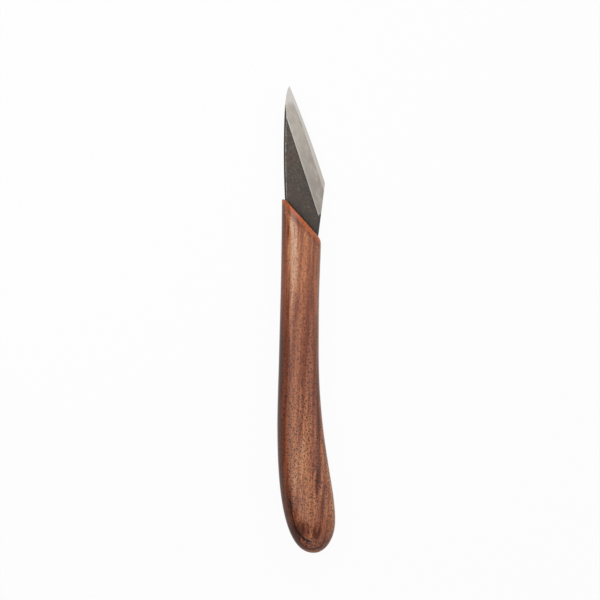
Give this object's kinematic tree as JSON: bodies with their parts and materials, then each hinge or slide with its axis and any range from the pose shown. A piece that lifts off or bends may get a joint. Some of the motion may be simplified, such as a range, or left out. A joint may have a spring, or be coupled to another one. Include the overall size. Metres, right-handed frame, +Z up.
{
  "type": "garden knife",
  "caption": "Fixed-blade garden knife: a skewed, single-bevel laminated blade with its tang bedded in a curved, rounded hardwood handle with a slanted mouth.",
  "frame": {"origin": "on the table under the middle of the knife's box, with the knife lying on its back and its bevel up", "axes": "+X across the blade from the spine to the heel, +Y from the butt to the tip, +Z up, out of the bevelled face"},
  "size_m": [0.0232, 0.187, 0.014],
  "materials": {
    "handle_wood": "rubbed lacquer over open-pored brown hardwood",
    "forged_iron": "dark forge scale, ground bright on the bevel",
    "edge_steel": "fine stone-ground",
    "bedding_resin": "dark cast resin"
  },
  "bodies": {
    "root": {"handle_front_half": "handle_wood", "handle_back_half": "handle_wood", "blade_body": "forged_iron", "edge_steel": "edge_steel", "tang_bedding": "bedding_resin"}
  },
  "joints": []
}
